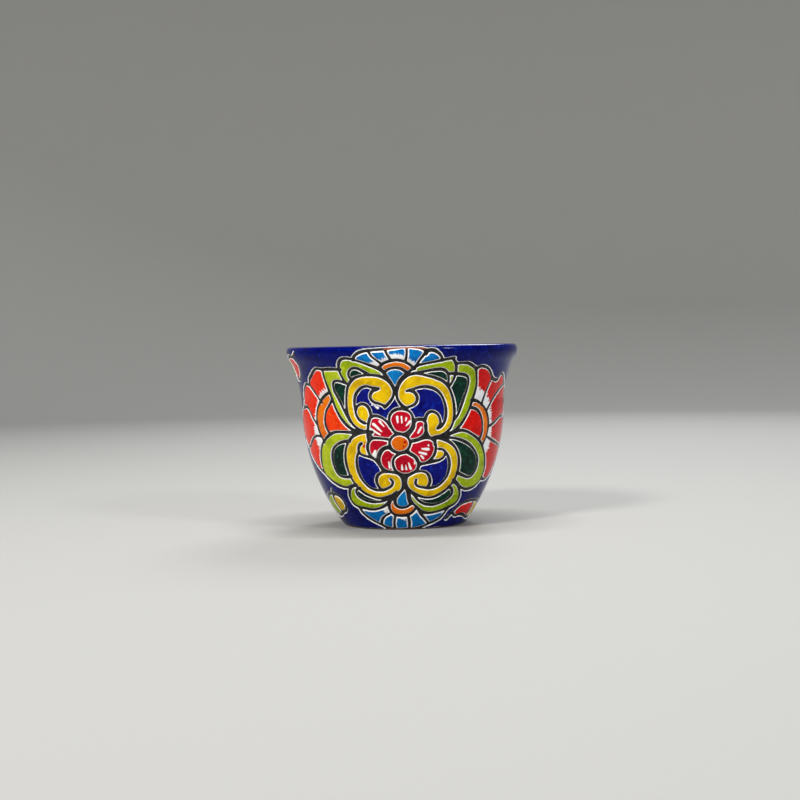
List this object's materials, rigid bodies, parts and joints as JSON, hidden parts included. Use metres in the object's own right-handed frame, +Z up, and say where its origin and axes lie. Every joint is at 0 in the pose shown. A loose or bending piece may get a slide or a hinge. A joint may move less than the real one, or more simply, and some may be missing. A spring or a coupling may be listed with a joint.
{
  "type": "talavera pottery vase",
  "caption": "Round flared earthenware planter vase with a rolled lip and drain hole, carved and glazed with a flower medallion front and back.",
  "frame": {"origin": "centre of the foot's underside", "axes": "+Z up along the axis of the turned shape; the front medallion faces -Y"},
  "size_m": [0.253, 0.253, 0.195],
  "materials": {
    "clay": "fired, matt",
    "line_dark": "glossy",
    "cobalt": "glossy",
    "yellow": "glossy",
    "lime": "glossy",
    "leaf_green": "glossy",
    "crimson": "glossy",
    "vermilion": "glossy",
    "orange": "glossy",
    "sky": "glossy"
  },
  "bodies": {
    "root": {"clay_body": "clay", "line_glaze": "line_dark", "rim_glaze": "cobalt", "blue_ground": "cobalt", "front_flower_centre": "orange", "front_flower_petals": "crimson", "front_scrolls": "yellow", "front_blue_windows": "cobalt", "front_leaves": "lime", "front_leaf_hearts": "leaf_green", "front_top_fan": "sky", "front_top_fan_arc": "orange", "front_bottom_fan": "sky", "front_bottom_fan_arc": "orange", "front_side_fans": "vermilion", "front_side_fan_arcs": "orange", "front_side_fan_sectors": "vermilion", "front_low_motifs": "yellow", "front_rim_bud": "crimson", "back_flower_centre": "orange", "back_flower_petals": "crimson", "back_scrolls": "yellow", "back_blue_windows": "cobalt", "back_leaves": "lime", "back_leaf_hearts": "leaf_green", "back_top_fan": "sky", "back_top_fan_arc": "orange", "back_bottom_fan": "sky", "back_bottom_fan_arc": "orange", "back_side_fans": "vermilion", "back_side_fan_arcs": "orange", "back_side_fan_sectors": "vermilion", "back_low_motifs": "yellow", "back_rim_bud": "crimson"}
  },
  "joints": []
}
